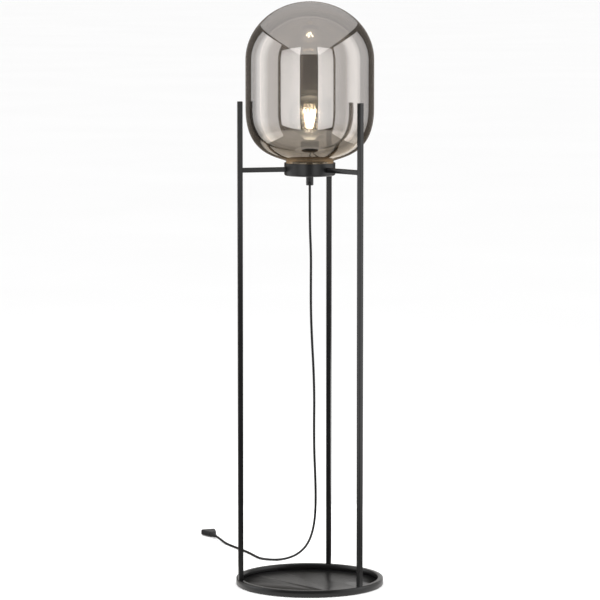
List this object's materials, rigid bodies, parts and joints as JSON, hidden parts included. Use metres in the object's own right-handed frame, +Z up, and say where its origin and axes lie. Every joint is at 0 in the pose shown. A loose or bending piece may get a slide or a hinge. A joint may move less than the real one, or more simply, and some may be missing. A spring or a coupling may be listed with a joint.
{
  "type": "floor lamp",
  "caption": "Floor lamp with a tall capsule of smoked glass seated in a shallow cup, held by arms between straight square legs on a round tray base.",
  "frame": {"origin": "centre of the base's underside, on the floor", "axes": "+Z up, the front towards -Y, +X to the right seen from the front"},
  "size_m": [0.4088, 0.7629, 1.2495],
  "materials": {
    "black_metal": "satin near-black coating",
    "felt": "black felt",
    "screw_steel": "blackened steel",
    "zinc_steel": "zinc-plated steel",
    "silicone": "soft grey silicone",
    "smoked_glass": "smoked, slightly mirrored, glossy",
    "clear_glass": "clear, glossy",
    "holder_plastic": "satin black plastic",
    "core_plastic": "cream heat-resisting plastic",
    "brass": "plain stamped brass",
    "cap_metal": "bright drawn metal",
    "bulb_insulator": "black vitreous insulation",
    "tip_metal": "tinned contact",
    "filament": "warm yellow coating that lights",
    "lead_wire": "thin bright wire",
    "cord_cover": "matte black",
    "conductor": "coloured wire insulation",
    "plug_plastic": "satin black",
    "pin_metal": "bright nickel plating"
  },
  "bodies": {
    "stand": {"arm_back": "black_metal", "arm_front": "black_metal", "arm_left": "black_metal", "arm_plug_back": "zinc_steel", "arm_plug_front": "zinc_steel", "arm_plug_left": "zinc_steel", "arm_screws": "screw_steel", "base_felt": "felt", "base_plate": "black_metal", "base_ring": "black_metal", "conductors": "conductor", "cord": "cord_cover", "cord_grip": "black_metal", "cord_grip_screw": "screw_steel", "cord_inner": "cord_cover", "cup": "black_metal", "holder_body": "holder_plastic", "holder_cap": "holder_plastic", "holder_contact": "brass", "holder_core": "core_plastic", "holder_screw_shell": "brass", "holder_terminals": "brass", "leg_back": "black_metal", "leg_cap_back": "black_metal", "leg_cap_front": "black_metal", "leg_cap_left": "black_metal", "leg_front": "black_metal", "leg_left": "black_metal", "leg_plug_back": "zinc_steel", "leg_plug_front": "zinc_steel", "leg_plug_left": "zinc_steel", "leg_screws": "screw_steel", "plug_body": "plug_plastic", "plug_pins": "pin_metal", "plug_relief": "plug_plastic", "seat_ring": "silicone", "stem_nut": "zinc_steel", "stem_washer": "zinc_steel", "threaded_stem": "zinc_steel"},
    "globe": {"globe_glass": "smoked_glass"},
    "bulb": {"bulb_cap": "cap_metal", "bulb_filaments": "filament", "bulb_glass": "clear_glass", "bulb_insulator": "bulb_insulator", "bulb_lead_wires": "lead_wire", "bulb_stem": "clear_glass", "bulb_tip": "tip_metal"}
  },
  "joints": [
    {"name": "globe_lift", "type": "slide", "parent": "stand", "child": "globe", "axis": [0, 0, 1], "range_m": [0, 0.2]},
    {"name": "bulb_turn", "type": "hinge", "parent": "stand", "child": "bulb", "pos_m": [0, 0, 0.945], "axis": [0, 0, 1], "range_deg": [0, 900]}
  ]
}
